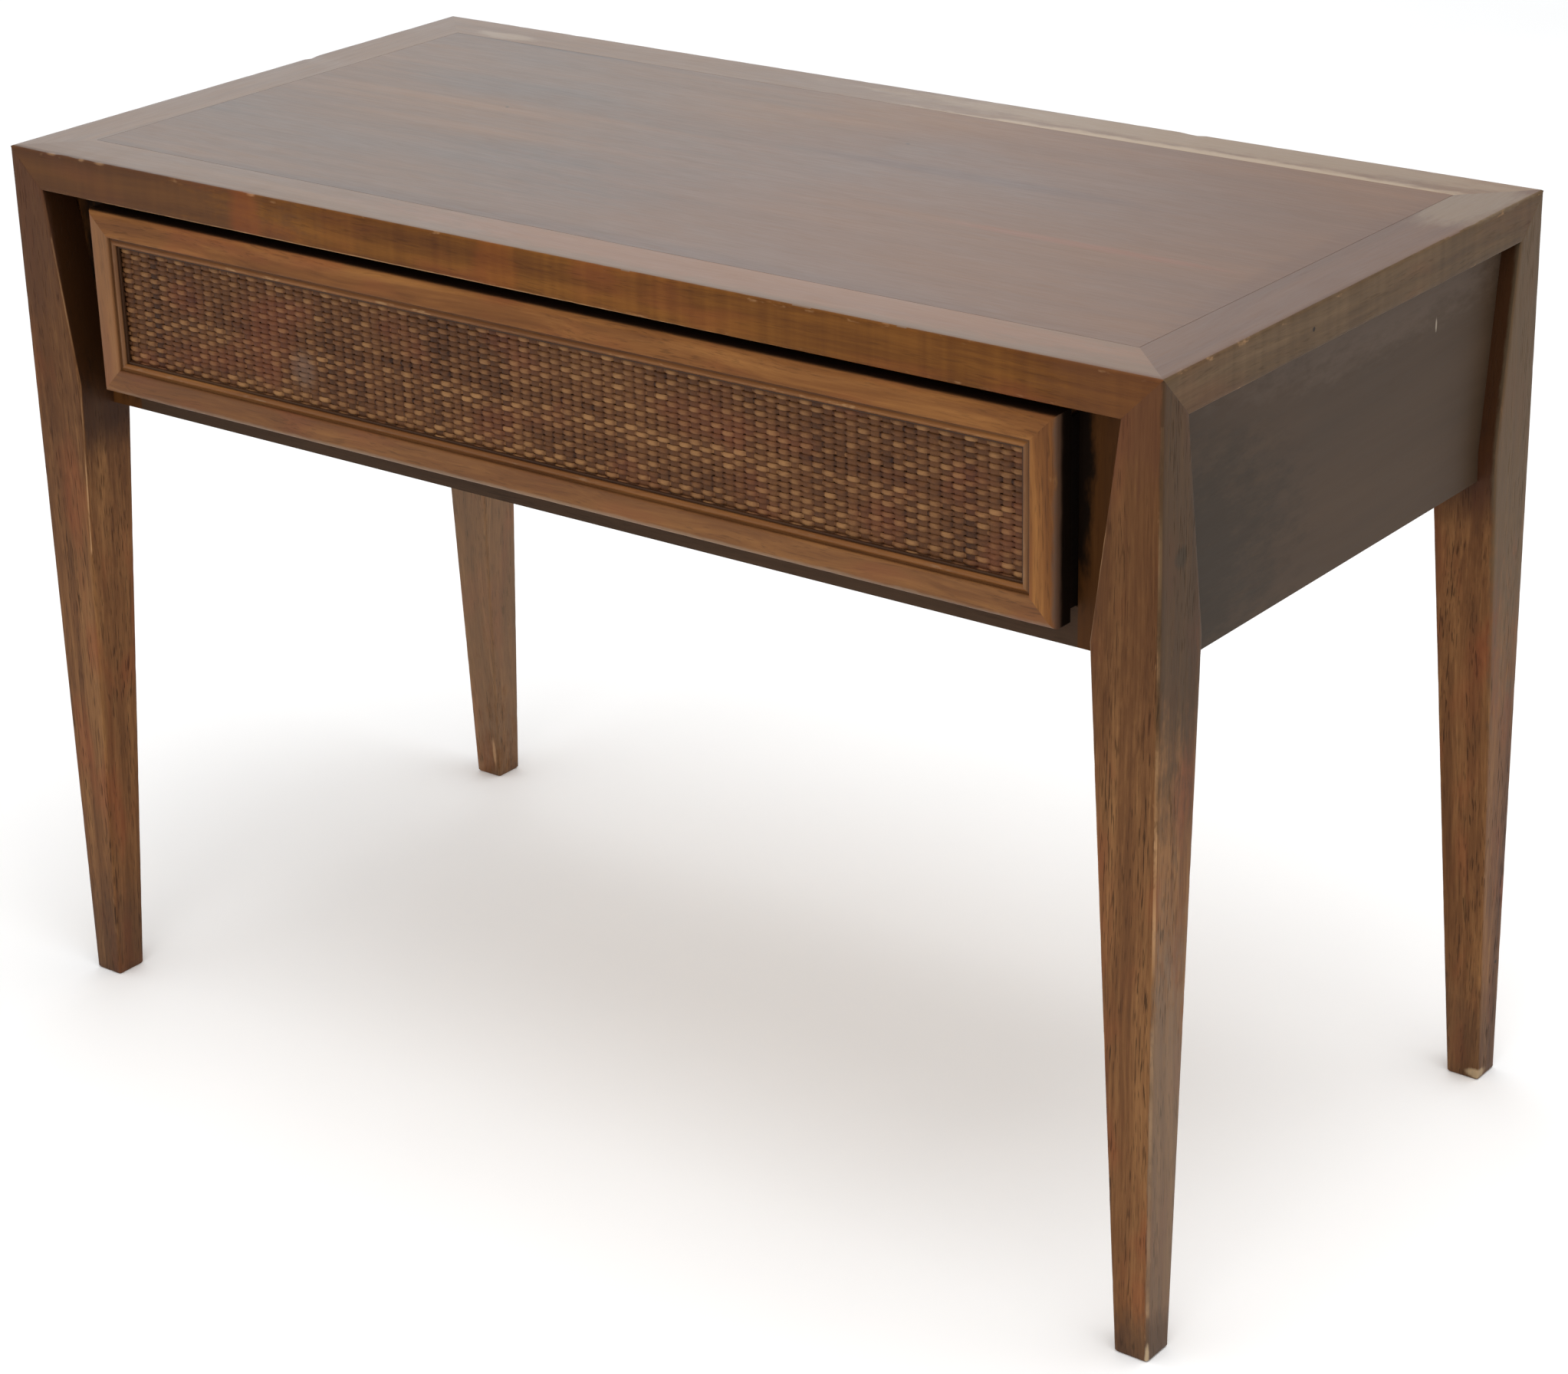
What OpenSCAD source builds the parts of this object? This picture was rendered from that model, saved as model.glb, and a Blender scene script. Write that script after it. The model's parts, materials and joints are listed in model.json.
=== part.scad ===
// Side table with one drawer. Three-way mitred corners, tapered legs that are
// widest at a knee just above the underside of the case, a recessed case and
// a framed cane drawer front.
// X runs along the front, Y runs from the front to the back, Z is up.
// The origin is on the floor under the middle of the table.

/* [Table] */
// Width over the legs
table_w = 812; // [760:1:900]
// Depth over the legs
table_d = 398; // [380:1:460]
// Height to the top surface
table_h = 554; // [500:1:620]

/* [Top] */
// Thickness of the mitred frame, which is also the width of a leg at its top
edge_t = 24.5; // [22:0.5:26]
// Width of the mitred frame on the top surface
band_w = 37; // [32:1:44]
// Thickness of the core that carries the veneer
core_t = 18; // [15:1:20]
// Thickness of the veneer on the field
veneer_t = 1; // [0.6:0.1:1.5]

/* [Legs] */
// Width of a leg at its knee
knee_w = 41; // [36:1:42]
// Height of the knee
knee_z = 409; // [405:1:415]
// Width of a leg at the floor
foot_w = 21; // [18:1:26]

/* [Case] */
// Height of the underside of the case
case_z = 391.5; // [388:0.5:395]
// Distance from the outside of the legs to the case side and case back
side_recess = 11.5; // [9:0.5:13]
// Distance from the front of the legs to the front of the case
front_recess = 26.5; // [25:0.5:28]
// Thickness of the case sides and case back
panel_t = 12; // [10:1:13]
// Thickness of the stiles and the bottom rail
stile_t = 19; // [16:1:20]
// Distance from the outside of the legs to the drawer opening
opening_inset = 65; // [62:1:68]
// Height of the bottom rail
rail_h = 22.5; // [20:0.5:26]

/* [Drawer front] */
// Distance from the outside of the legs to the edge of the drawer front
front_inset = 62; // [60:1:64]
// Height of the lower edge of the drawer front
front_z = 410; // [409:0.5:412]
// Height of the drawer front
front_h = 114; // [112:0.5:115]
// Thickness of the drawer front
front_t = 15; // [14:0.5:16]
// Visible width of a frame member
member_w = 15.5; // [14:0.5:18]
// Width of the bead strip inside the frame, with its quirks
bead_w = 6; // [5:0.5:7]
// Depth from the face of the frame to the cane
cane_recess = 4.5; // [4:0.5:6]
// Thickness of the woven cane
cane_t = 3; // [2:0.5:4]

/* [Drawer box] */
// Thickness of the sides, back and inner front
box_t = 12; // [10:1:14]
// Height of the sides
box_h = 102.5; // [90:0.5:103]
// Thickness of the bottom
bottom_t = 5; // [4:1:6]
// Gap on each side of the box in the opening
side_gap = 1; // [0.5:0.1:2]
// Gap under the box
under_gap = 0.5; // [0.4:0.1:0.8]

/* [Hidden] */

// Colours
walnut = [0.45, 0.28, 0.17];
walnut_light = [0.56, 0.37, 0.23];
walnut_grey = [0.36, 0.29, 0.24];
cane_brown = [0.47, 0.30, 0.21];
maple = [0.80, 0.68, 0.50];
steel = [0.62, 0.62, 0.62];

// The table's own corners and levels
half_w = table_w / 2;
half_d = table_d / 2;
frame_z = table_h - edge_t;
core_z = table_h - veneer_t - core_t;
field_w = table_w - 2 * band_w;
field_d = table_d - 2 * band_w;

// The case
side_out_x = half_w - side_recess;
side_in_x = side_out_x - panel_t;
back_out_y = half_d - side_recess;
back_in_y = back_out_y - panel_t;
case_front_y = front_recess - half_d;
stile_back_y = case_front_y + stile_t;
opening_x = half_w - opening_inset;
rail_top_z = case_z + rail_h;

// The drawer box
box_x = opening_x - side_gap;
box_in_x = box_x - box_t;
box_z = rail_top_z + under_gap;
box_top_z = box_z + box_h;
box_front_y = front_t - half_d;
stop_t = 5;
stop_w = 30;
stop_x = 220;
stop_gap = 0.5;
box_back_y = back_in_y - stop_t - stop_gap;
bottom_lift = 8;
bottom_z = box_z + bottom_lift;
groove = 5;

// Runners, guides and kickers
runner_reach = 18;
runner_in_x = opening_x - runner_reach;
runner_t = 12;
guide_w = 18;
guide_h = 22;
kicker_t = 10;

// The drawer front
front_x = half_w - front_inset;
front_y = -half_d;
front_mid_z = front_z + front_h / 2;
front_w = 2 * front_x;
rabbet_w = 7;
lip_w = member_w - rabbet_w;
sheet_w = front_w - 2 * lip_w;
sheet_h = front_h - 2 * lip_w;
quirk_w = 1.9;
bead_r = bead_w / 2 - quirk_w + 0.2;
bead_base = 1.2;
bead_drop = 1;
backing_t = front_t - cane_recess - cane_t;

// Screws
screw_r = 2;
head_r = 4;
head_h = 2.5;

// A box from its lowest corner to its highest corner
module block(low, high) {
    translate(low) cube(high - low);
}

// Outline of a leg from its outer face inwards. The slope at the top is the
// mitre; both faces of the leg have this outline.
module leg_outline() {
    polygon([[0, 0], [foot_w, 0], [knee_w, knee_z], [edge_t, frame_z], [0, table_h]]);
}

// The front left leg. Its outer faces are upright, and its inner faces taper.
module leg_at_front_left() {
    translate([-half_w, -half_d, 0]) intersection() {
        translate([0, knee_w, 0]) rotate([90, 0, 0])
            linear_extrude(knee_w) leg_outline();
        multmatrix([[0, 0, 1, 0], [1, 0, 0, 0], [0, 1, 0, 0], [0, 0, 0, 1]])
            linear_extrude(knee_w) leg_outline();
    }
}

// A shape made at the left is repeated at the right, and at the front at the back
module at_right(flip) {
    mirror([flip ? 1 : 0, 0, 0]) children();
}

module at_back(flip) {
    mirror([0, flip ? 1 : 0, 0]) children();
}

module leg(right, back) {
    at_right(right) at_back(back) leg_at_front_left();
}

module all_legs() {
    for (right = [false, true])
        for (back = [false, true])
            leg(right, back);
}

// One member of the mitred frame in the top: a trapezium seen from above
module top_member(length, distance) {
    difference() {
        translate([0, 0, frame_z]) linear_extrude(edge_t)
            polygon([[-length / 2, -distance], [length / 2, -distance],
                [length / 2 - band_w, band_w - distance], [band_w - length / 2, band_w - distance]]);
        children();
    }
}

module top_frame_front() {
    color(walnut_light) top_member(table_w, half_d) all_legs();
}

module top_frame_back() {
    color(walnut_light) at_back(true) top_member(table_w, half_d) all_legs();
}

module top_frame_side(right) {
    color(walnut_light) at_right(right) rotate(-90)
        top_member(table_d, half_w) rotate(90) all_legs();
}

module top_core() {
    color(maple) block([-field_w / 2, -field_d / 2, core_z],
        [field_w / 2, field_d / 2, core_z + core_t]);
}

module top_veneer() {
    color(walnut) block([-field_w / 2, -field_d / 2, table_h - veneer_t],
        [field_w / 2, field_d / 2, table_h]);
}

// The case's panels butt against the tapered inner faces of the legs
module case_side(right) {
    color(walnut_grey) at_right(right) difference() {
        block([-side_out_x, edge_t - half_d, case_z], [-side_in_x, half_d - edge_t, frame_z]);
        all_legs();
    }
}

module case_back() {
    color(walnut_grey) difference() {
        block([edge_t - half_w, back_in_y, case_z], [half_w - edge_t, back_out_y, frame_z]);
        all_legs();
    }
}

module case_stile(right) {
    color(walnut) at_right(right) difference() {
        block([-side_in_x, case_front_y, case_z], [-opening_x, stile_back_y, frame_z]);
        all_legs();
    }
}

module case_bottom_rail() {
    color(walnut) block([-opening_x, case_front_y, case_z], [opening_x, stile_back_y, rail_top_z]);
}

// The runner carries the drawer side, and is glued to the case side
module drawer_runner(right) {
    color(maple) at_right(right) difference() {
        block([-side_in_x, stile_back_y, rail_top_z - runner_t], [-runner_in_x, back_in_y, rail_top_z]);
        all_legs();
    }
}

// The guide keeps the drawer straight
module drawer_guide(right) {
    color(maple) at_right(right) difference() {
        block([-opening_x - guide_w, stile_back_y, rail_top_z],
            [-opening_x, back_in_y, rail_top_z + guide_h]);
        all_legs();
    }
}

// The kicker stops the drawer from tipping, and the top is screwed to it
module drawer_kicker(right) {
    color(maple) at_right(right) difference() {
        block([-side_in_x, stile_back_y, frame_z - kicker_t], [-runner_in_x, back_in_y, frame_z]);
        all_legs();
    }
}

// Two blocks on the case back, which the closed drawer meets
module drawer_stops() {
    color(maple) for (right = [false, true])
        at_right(right) block([-stop_x - stop_w, back_in_y - stop_t, box_z + stop_w],
            [-stop_x, back_in_y, box_z + 2 * stop_w]);
}

// A countersunk wood screw along +Z, with its head flush with z = 0
module screw(length) {
    cylinder(h = length, r = screw_r, $fn = 32);
    cylinder(h = head_h, r1 = head_r, r2 = screw_r, $fn = 32);
}

module top_screws() {
    screw_x = half_w - 30;
    screw_pitch = 110;
    screw_l = 25;
    color(steel) for (right = [false, true])
        for (row = [-1:1])
            at_right(right) translate([-screw_x, row * screw_pitch, frame_z - kicker_t])
                screw(screw_l);
}

module guide_screws() {
    screw_pitch = 120;
    screw_l = 30;
    color(steel) for (right = [false, true])
        for (row = [-1:1])
            at_right(right)
                translate([-opening_x - guide_w / 2, row * screw_pitch, rail_top_z + guide_h])
                    mirror([0, 0, 1]) screw(screw_l);
}

// The drawer front is drawn flat, X to the right and Y up, with its face at
// z = 0 and its back at z = front_t, and is then stood up in its place
module stand_front() {
    translate([0, front_y, front_mid_z]) rotate([90, 0, 0]) mirror([0, 0, 1]) children();
}

// The part of a flat frame that lies between two mitres on one side
module mitre_region(w, h, width) {
    polygon([[-w / 2, h / 2], [w / 2, h / 2],
        [w / 2 - width, h / 2 - width], [width - w / 2, h / 2 - width]]);
}

// A rail of the drawer front, with the rabbet that holds the cane and backing
module front_member(w, h) {
    difference() {
        linear_extrude(front_t) mitre_region(w, h, member_w);
        translate([lip_w - w / 2, 0, cane_recess])
            linear_extrude(front_t) square([w - 2 * lip_w, h / 2 - lip_w]);
    }
}

// Cross-section of a bead, from the frame inwards: a round between two quirks
module bead_section() {
    round_h = cane_recess - bead_drop - bead_r;
    square([bead_w, bead_base]);
    translate([quirk_w, 0]) square([2 * bead_r, round_h]);
    translate([quirk_w + bead_r, round_h]) circle(bead_r, $fn = 48);
}

// A bead lies on the cane against the frame, and is mitred at the corners
module front_bead(w, h) {
    intersection() {
        linear_extrude(front_t) mitre_region(w, h, bead_w);
        translate([-w / 2, h / 2, cane_recess])
            multmatrix([[0, 0, 1, 0], [-1, 0, 0, 0], [0, -1, 0, 0], [0, 0, 0, 1]])
                linear_extrude(w) bead_section();
    }
}

module front_rail(low) {
    color(walnut_light) stand_front() mirror([0, low ? 1 : 0, 0]) front_member(front_w, front_h);
}

module front_stile(right) {
    color(walnut_light) stand_front() mirror([right ? 1 : 0, 0, 0]) rotate(90)
        front_member(front_h, front_w);
}

module bead_rail(low) {
    color(walnut_light) stand_front() mirror([0, low ? 1 : 0, 0])
        front_bead(front_w - 2 * member_w, front_h - 2 * member_w);
}

module bead_stile(right) {
    color(walnut_light) stand_front() mirror([right ? 1 : 0, 0, 0]) rotate(90)
        front_bead(front_h - 2 * member_w, front_w - 2 * member_w);
}

// A sheet that lies in the rabbet of the drawer front
module front_sheet(depth, thickness) {
    stand_front() translate([-sheet_w / 2, -sheet_h / 2, depth])
        cube([sheet_w, sheet_h, thickness]);
}

module cane_panel() {
    color(cane_brown) front_sheet(cane_recess, cane_t);
}

module cane_backing() {
    color(maple) front_sheet(cane_recess + cane_t, backing_t);
}

// The drawer bottom slides into grooves in the sides and the inner front
module bottom_sheet() {
    block([-box_in_x - groove, box_front_y + box_t - groove, bottom_z],
        [box_in_x + groove, box_back_y, bottom_z + bottom_t]);
}

module drawer_bottom() {
    color(maple) bottom_sheet();
}

module drawer_side(right) {
    color(maple) at_right(right) difference() {
        block([-box_x, box_front_y, box_z], [-box_in_x, box_back_y, box_top_z]);
        bottom_sheet();
    }
}

module drawer_inner_front() {
    color(maple) difference() {
        block([-box_in_x, box_front_y, box_z], [box_in_x, box_front_y + box_t, box_top_z]);
        bottom_sheet();
    }
}

// The back stands on the bottom
module drawer_back() {
    color(maple) block([-box_in_x, box_back_y - box_t, bottom_z + bottom_t],
        [box_in_x, box_back_y, box_top_z]);
}

// Screws from inside the drawer into the backing of the drawer front
module front_screws() {
    screw_x = 260;
    screw_z = 24;
    screw_l = 18;
    color(steel) for (right = [false, true])
        for (row = [-1, 1])
            at_right(right)
                translate([-screw_x, box_front_y + box_t, front_mid_z + row * screw_z])
                    rotate([90, 0, 0]) screw(screw_l);
}

top_veneer();
top_core();
top_frame_front();
top_frame_back();
top_frame_side(false);  // top_frame_left
top_frame_side(true);  // top_frame_right
color(walnut) leg(false, false);  // leg_front_left
color(walnut) leg(true, false);  // leg_front_right
color(walnut) leg(false, true);  // leg_back_left
color(walnut) leg(true, true);  // leg_back_right
case_side(false);  // case_side_left
case_side(true);  // case_side_right
case_back();
case_stile(false);  // case_stile_left
case_stile(true);  // case_stile_right
case_bottom_rail();
drawer_runner(false);  // drawer_runner_left
drawer_runner(true);  // drawer_runner_right
drawer_guide(false);  // drawer_guide_left
drawer_guide(true);  // drawer_guide_right
drawer_kicker(false);  // drawer_kicker_left
drawer_kicker(true);  // drawer_kicker_right
drawer_stops();
top_screws();
guide_screws();
front_rail(false);  // front_frame_top
front_rail(true);  // front_frame_bottom
front_stile(false);  // front_frame_left
front_stile(true);  // front_frame_right
bead_rail(false);  // front_bead_top
bead_rail(true);  // front_bead_bottom
bead_stile(false);  // front_bead_left
bead_stile(true);  // front_bead_right
cane_panel();
cane_backing();
drawer_inner_front();
drawer_back();
drawer_side(false);  // drawer_side_left
drawer_side(true);  // drawer_side_right
drawer_bottom();
front_screws();
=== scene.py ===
"""Looks of a worn walnut side table with one cane-fronted drawer.

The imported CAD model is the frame. The top's frame, the legs and the drawer front are
rebuilt here with rounded, slightly dented arrises, and the cane is woven strand by strand.
The veneered field, the case and the hidden parts keep their CAD shapes and get fine
bevels. All lengths are in metres.
"""

import json
import math
import random

import bmesh
import bpy
from mathutils import Matrix, Vector, noise


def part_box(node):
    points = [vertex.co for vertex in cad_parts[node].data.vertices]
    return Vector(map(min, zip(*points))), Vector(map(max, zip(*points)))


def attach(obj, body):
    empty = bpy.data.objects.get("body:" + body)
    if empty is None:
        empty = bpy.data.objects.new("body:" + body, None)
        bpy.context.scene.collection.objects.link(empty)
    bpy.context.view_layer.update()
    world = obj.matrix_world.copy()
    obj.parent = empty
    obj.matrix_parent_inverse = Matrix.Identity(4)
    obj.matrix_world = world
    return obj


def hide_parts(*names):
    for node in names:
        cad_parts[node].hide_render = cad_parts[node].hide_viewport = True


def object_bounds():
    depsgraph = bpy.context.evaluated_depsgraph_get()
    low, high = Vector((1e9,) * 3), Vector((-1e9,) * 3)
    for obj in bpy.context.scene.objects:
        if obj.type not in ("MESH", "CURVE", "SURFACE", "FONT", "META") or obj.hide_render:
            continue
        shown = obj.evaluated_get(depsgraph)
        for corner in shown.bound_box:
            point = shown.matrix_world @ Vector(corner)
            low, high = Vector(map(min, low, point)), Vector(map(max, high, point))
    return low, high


MM = 0.001

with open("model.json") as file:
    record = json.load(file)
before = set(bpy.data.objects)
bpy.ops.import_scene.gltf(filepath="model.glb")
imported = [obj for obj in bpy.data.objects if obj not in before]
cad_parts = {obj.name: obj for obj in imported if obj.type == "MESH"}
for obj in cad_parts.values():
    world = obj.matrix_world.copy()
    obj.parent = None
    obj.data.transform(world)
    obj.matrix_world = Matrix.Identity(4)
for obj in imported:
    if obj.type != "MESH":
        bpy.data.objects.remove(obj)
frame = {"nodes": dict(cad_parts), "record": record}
cad_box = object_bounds()
nodes = frame["nodes"]
body_of = {n: b for b, members in frame["record"]["behaviour"]["bodies"].items() for n in members}

# ---------------------------------------------------------------- sizes from the CAD

table_high = cad_box[1]
half_w = table_high.x
half_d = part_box("leg_back_left")[1].y
table_h = table_high.z
rail_low, rail_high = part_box("top_frame_front")
frame_z = rail_low.z
edge_t = table_h - frame_z
band_w = rail_high.y + half_d
field_low, field_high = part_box("top_veneer")
knee_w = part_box("leg_front_left")[1].x + half_w
knee_z = 0.409
foot_w = 0.021

ARRIS_R = 1.8 * MM      # outer arrises of the top and the legs
INNER_R = 1.2 * MM      # inner arrises of the legs and the rails
JOINT_R = 0.25 * MM     # the fine line round the veneered field
RING_STEP = 6 * MM      # spacing of the cross-sections that carry dents
SUPPORT = 2.2 * MM      # distance from an arris to the line where its wear ends


# ---------------------------------------------------------------- shader graphs

class Graph:
    """A material's shader nodes, added and joined one call at a time."""

    def __init__(self, name):
        self.material = bpy.data.materials.new(name)
        self.material.use_nodes = True
        self.tree = self.material.node_tree
        self.tree.nodes.clear()

    def add(self, kind, settings=None, **inputs):
        """Adds a node. inputs are socket names (spaces as _) or i0, i1 for sockets by index."""
        node = self.tree.nodes.new(kind)
        for key, value in (settings or {}).items():
            setattr(node, key, value)
        for key, value in inputs.items():
            by_index = key[0] == "i" and key[1:].isdigit()
            socket = node.inputs[int(key[1:])] if by_index else node.inputs[key.replace("_", " ")]
            self.set(socket, value)
        return node

    def set(self, socket, value):
        if isinstance(value, bpy.types.NodeSocket):
            self.tree.links.new(value, socket)
        else:
            socket.default_value = value

    def math(self, operation, a, b=0.0, clamp=False):
        node = self.add("ShaderNodeMath", {"operation": operation, "use_clamp": clamp}, i0=a, i1=b)
        return node.outputs[0]

    def scaled(self, vector, by):
        """vector times by, component by component."""
        node = self.add("ShaderNodeVectorMath", {"operation": "MULTIPLY"}, i0=vector, i1=by)
        return node.outputs[0]

    def shifted(self, vector, by):
        node = self.add("ShaderNodeVectorMath", {"operation": "ADD"}, i0=vector, i1=by)
        return node.outputs[0]

    def around_zero(self, value, weight):
        """A value from 0 to 1, centred on zero and then scaled."""
        return self.math("MULTIPLY", self.math("SUBTRACT", value, 0.5), weight)

    def noise(self, vector, detail=2.0, rough=0.5):
        """Noise from 0 to 1 in a vector that is already scaled."""
        node = self.add("ShaderNodeTexNoise", {}, Vector=vector, Scale=1.0, Detail=detail, Roughness=rough)
        return node.outputs["Fac"]

    def ramp(self, value, low, high, to_low=0.0, to_high=1.0, smooth=True):
        """value from low..high to to_low..to_high, clamped."""
        node = self.add(
            "ShaderNodeMapRange",
            {"interpolation_type": "SMOOTHSTEP" if smooth else "LINEAR", "clamp": True},
            i0=value, i1=low, i2=high, i3=to_low, i4=to_high,
        )
        return node.outputs[0]

    def mix(self, factor, a, b, blend="MIX"):
        node = self.add("ShaderNodeMix", {"data_type": "RGBA", "blend_type": blend, "clamp_factor": True})
        self.set(node.inputs["Factor"], factor)
        self.set(node.inputs[6], a)
        self.set(node.inputs[7], b)
        return node.outputs[2]

    def colours(self, value, stops):
        """A colour ramp through stops of (position, colour)."""
        node = self.add("ShaderNodeValToRGB", {}, Fac=value)
        ramp = node.color_ramp
        while len(ramp.elements) < len(stops):
            ramp.elements.new(0.5)
        for element, (position, colour) in zip(ramp.elements, stops):
            element.position = position
            element.color = rgba(colour)
        return node.outputs["Color"]

    def surface(self, **inputs):
        """The Principled shader, joined to the output."""
        shader = self.add("ShaderNodeBsdfPrincipled", {}, **inputs)
        output = self.add("ShaderNodeOutputMaterial")
        self.tree.links.new(shader.outputs[0], output.inputs[0])
        return self.material


def rgba(colour):
    return (*colour[:3], 1.0)


def srgb(red, green, blue):
    """A colour given as 0..255 display values, in linear light."""
    def linear(c):
        c /= 255
        return c / 12.92 if c <= 0.04045 else ((c + 0.055) / 1.055) ** 2.4
    return (linear(red), linear(green), linear(blue))


# Which of x, y and z runs along the grain, and which two run across it
AXES = {"x": (0, 1, 2), "y": (1, 0, 2), "z": (2, 0, 1)}

RAGGED = 0.9            # how ragged a mark's outline is, unless the mark says


def wood(name, grain, dark, mid, light, seed=0.0, *, figure=1.0, ring_pitch=5 * MM, rings=0.5, pores=0.6,
         fibre=0.5, chatter=0.0, mottle=0.3, rough=0.42, specular=0.35, coat=0.0,
         worn=None, wear=0.0, marks=(), bump=0.35, slant=0.0, waves=1.0, wander=22 * MM, blush=0.0,
         clouds=(7, 11, 11)):
    """Procedural wood whose grain runs along an axis of the frame.

    The grain coordinates are (along, across, across). Broad streaks, growth rings, long
    pores and fine fibre are mixed by value, then worn arrises and marks are laid over.
    marks is a list of (centre, radii, colour, strength) in metres, with a fifth value for
    how ragged the outline is.
    With wear, the mesh attribute of that name is 0 on plain wood, and about 1 on an arris
    that is worn in patches. From 1.1 to 1.8 the arris is more and more surely rubbed pale,
    from -0.1 to -0.9 grime and painted shade darken the wood, and from -1.05 to -1.8 painted deep shade
    does.
    """
    g = Graph(name)
    place = g.add("ShaderNodeTexCoord").outputs["Object"]
    split = g.add("ShaderNodeSeparateXYZ", {}, Vector=place).outputs
    along, across, depth = (split[i] for i in AXES[grain])
    across = g.math("ADD", across, g.math("MULTIPLY", along, slant))
    grain_place = g.add("ShaderNodeCombineXYZ", {}, X=along, Y=across, Z=depth).outputs[0]
    grain_place = g.shifted(grain_place, (seed * 1.37, seed * 0.71, seed * 0.53))

    # The fibres wander a few millimetres sideways
    drift = g.noise(g.scaled(grain_place, (3.5 * waves, 9 * waves, 9 * waves)), 1.0)
    drift = g.around_zero(drift, wander)
    sideways = g.add("ShaderNodeCombineXYZ", {}, X=0.0, Y=drift, Z=drift).outputs[0]
    bent = g.shifted(grain_place, sideways)

    streak = g.noise(g.scaled(bent, (2.2, 75, 75)), 4.0, 0.6)
    ring_scale = 1 / (2 * ring_pitch)
    ring_noise = g.noise(g.scaled(bent, (1.6, ring_scale, ring_scale)), 3.0, 0.7)
    fibre_noise = g.noise(g.scaled(bent, (38, 620, 620)), 3.0, 0.65)
    pore_noise = g.noise(g.scaled(bent, (75, 1150, 1150)), 1.0, 0.5)
    pore_room = g.ramp(g.noise(g.scaled(bent, (6, 110, 110)), 2.0), 0.3, 0.65)
    pore = g.math("MULTIPLY", g.ramp(pore_noise, 0.56, 0.68), pore_room)
    patch = g.noise(g.scaled(grain_place, clouds), 2.0)

    value = g.math("ADD", g.around_zero(streak, figure), 0.5)
    for source, weight in ((ring_noise, rings), (fibre_noise, 0.55 * fibre), (patch, mottle)):
        value = g.math("ADD", value, g.around_zero(source, weight))
    if chatter:
        cross = g.noise(g.scaled(grain_place, (150, 4, 4)), 1.5)
        value = g.math("ADD", value, g.around_zero(cross, chatter))
    colour = g.colours(value, [(0.22, dark), (0.5, mid), (0.78, light)])
    if blush:
        reddish = g.noise(g.shifted(g.scaled(grain_place, (16, 48, 48)), (5, 9, 2)), 2.0)
        colour = g.mix(g.ramp(reddish, 0.48, 0.72, 0.0, blush), colour, rgba(BLUSH))
    shade = g.math("SUBTRACT", 1.0, g.math("MULTIPLY", pore, pores))
    shade_colour = g.add("ShaderNodeCombineColor", {}, Red=shade, Green=shade, Blue=shade).outputs[0]
    colour = g.mix(1.0, colour, shade_colour, "MULTIPLY")

    break_up = g.noise(g.scaled(grain_place, (55, 160, 160)), 3.0, 0.7)
    if wear:
        attribute = g.add("ShaderNodeAttribute", {"attribute_name": "wear"}).outputs["Fac"]
        on_arris = g.ramp(attribute, 0.45, 1.0)
        in_patches = g.ramp(break_up, 0.70 - 0.3 * wear, 0.85 - 0.3 * wear)
        worn_mask = g.math("MULTIPLY", on_arris, in_patches)
        worn_mask = g.math("MULTIPLY", worn_mask, wear)
        rubbed = g.math("MULTIPLY", g.ramp(attribute, 1.1, 1.8, 0.0, 0.85), g.ramp(break_up, 0.26, 0.48))
        worn_mask = g.math("MAXIMUM", worn_mask, rubbed)
        colour = g.mix(worn_mask, colour, rgba(worn))
        # Negative wear: grime with painted shade, then nearly black painted shade
        grime = g.ramp(attribute, -0.1, -0.9, 0.0, 0.8)
        colour = g.mix(grime, colour, rgba(GRIME_AND_SHADE))
        colour = g.mix(g.ramp(attribute, -1.05, -1.8, 0.0, 0.9), colour, rgba(PAINTED_SHADE))
    for centre, radii, mark_colour, strength, *ragged in marks:
        offset = g.shifted(place, [-c for c in centre])
        reach = g.add("ShaderNodeVectorMath", {"operation": "LENGTH"},
                      i0=g.scaled(offset, [1 / r for r in radii])).outputs["Value"]
        reach = g.math("ADD", reach, g.around_zero(break_up, *(ragged or [RAGGED])))
        mask = g.ramp(reach, 1.0, 0.45, 0.0, strength)
        colour = g.mix(mask, colour, rgba(mark_colour))

    roughness = g.math("ADD", rough, g.math("MULTIPLY", pore, 0.3 * pores))
    roughness = g.math("ADD", roughness, g.around_zero(fibre_noise, 0.18))
    roughness = g.math("ADD", roughness, g.around_zero(patch, 0.12), clamp=True)
    raised = g.math("MULTIPLY", fibre_noise, 0.35)
    height = g.math("SUBTRACT", raised, g.math("MULTIPLY", pore, 1.3 * pores))
    normal = g.add("ShaderNodeBump", {}, Strength=bump, Distance=0.25 * MM, Height=height).outputs[0]
    inputs = {"Base_Color": colour, "Roughness": roughness, "Normal": normal,
              "Specular_IOR_Level": specular, "IOR": 1.5}
    if coat:
        inputs.update(Coat_Weight=coat, Coat_Roughness=0.33)
    return g.surface(**inputs)


# ---------------------------------------------------------------- mesh helpers

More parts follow.
